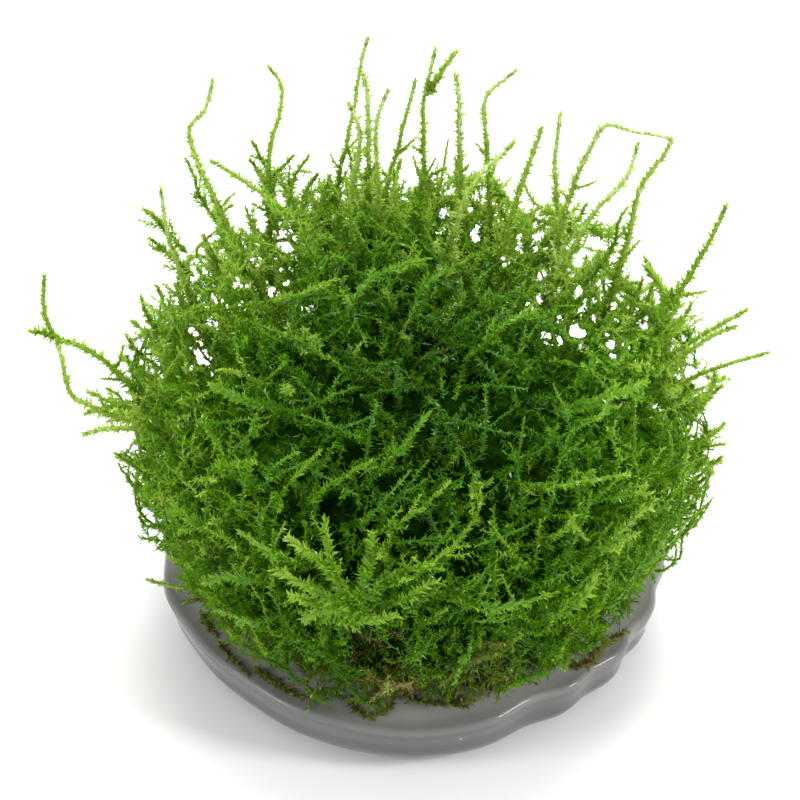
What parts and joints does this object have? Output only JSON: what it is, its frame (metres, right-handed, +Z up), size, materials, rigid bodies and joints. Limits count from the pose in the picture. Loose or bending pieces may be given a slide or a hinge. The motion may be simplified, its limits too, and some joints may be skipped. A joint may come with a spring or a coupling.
{
  "type": "moss clump on a plug of growing gel",
  "caption": "Rounded cushion of leafy green water moss with long single shoots, rooted on a round, flat-footed plug of clear growing gel that it stands on.",
  "frame": {"origin": "centre of the gel plug's flat foot, on the surface that it rests on", "axes": "+Z up through the moss; -Y towards the side that the picture shows; +X to the right in that view"},
  "size_m": [0.0918, 0.0817, 0.0716],
  "materials": {
    "growing_gel": "wet, cloudy-clear grey gel",
    "dense_moss": "dense dark to mid green leaves, olive at the foot",
    "fresh_moss": "bright yellow-green young leaves, wet and slightly glossy"
  },
  "bodies": {
    "root": {"gel_plug": "growing_gel", "moss_cushion": "dense_moss", "crown_shoot_01": "fresh_moss", "crown_shoot_02": "fresh_moss", "crown_shoot_03": "fresh_moss", "crown_shoot_04": "fresh_moss", "crown_shoot_05": "fresh_moss", "crown_shoot_06": "fresh_moss", "crown_shoot_07": "fresh_moss", "crown_shoot_08": "fresh_moss", "crown_shoot_09": "fresh_moss", "crown_shoot_10": "fresh_moss", "crown_shoot_11": "fresh_moss", "crown_shoot_12": "fresh_moss", "crown_shoot_13": "fresh_moss", "crown_shoot_14": "fresh_moss", "crown_shoot_15": "fresh_moss", "crown_shoot_16": "fresh_moss", "crown_shoot_17": "fresh_moss", "crown_shoot_18": "fresh_moss", "crown_shoot_19": "fresh_moss", "left_shoot_01": "fresh_moss", "left_shoot_02": "fresh_moss", "left_shoot_03": "fresh_moss", "left_shoot_04": "fresh_moss", "left_shoot_05": "fresh_moss", "left_shoot_06": "fresh_moss", "right_shoot_01": "fresh_moss", "right_shoot_02": "fresh_moss", "right_shoot_03": "fresh_moss", "right_shoot_04": "fresh_moss", "right_shoot_05": "fresh_moss", "right_shoot_06": "fresh_moss", "right_shoot_07": "fresh_moss", "right_shoot_08": "fresh_moss", "back_shoot_01": "fresh_moss", "back_shoot_02": "fresh_moss", "back_shoot_03": "fresh_moss", "back_shoot_04": "fresh_moss", "back_shoot_05": "fresh_moss", "back_shoot_06": "fresh_moss"}
  },
  "joints": []
}
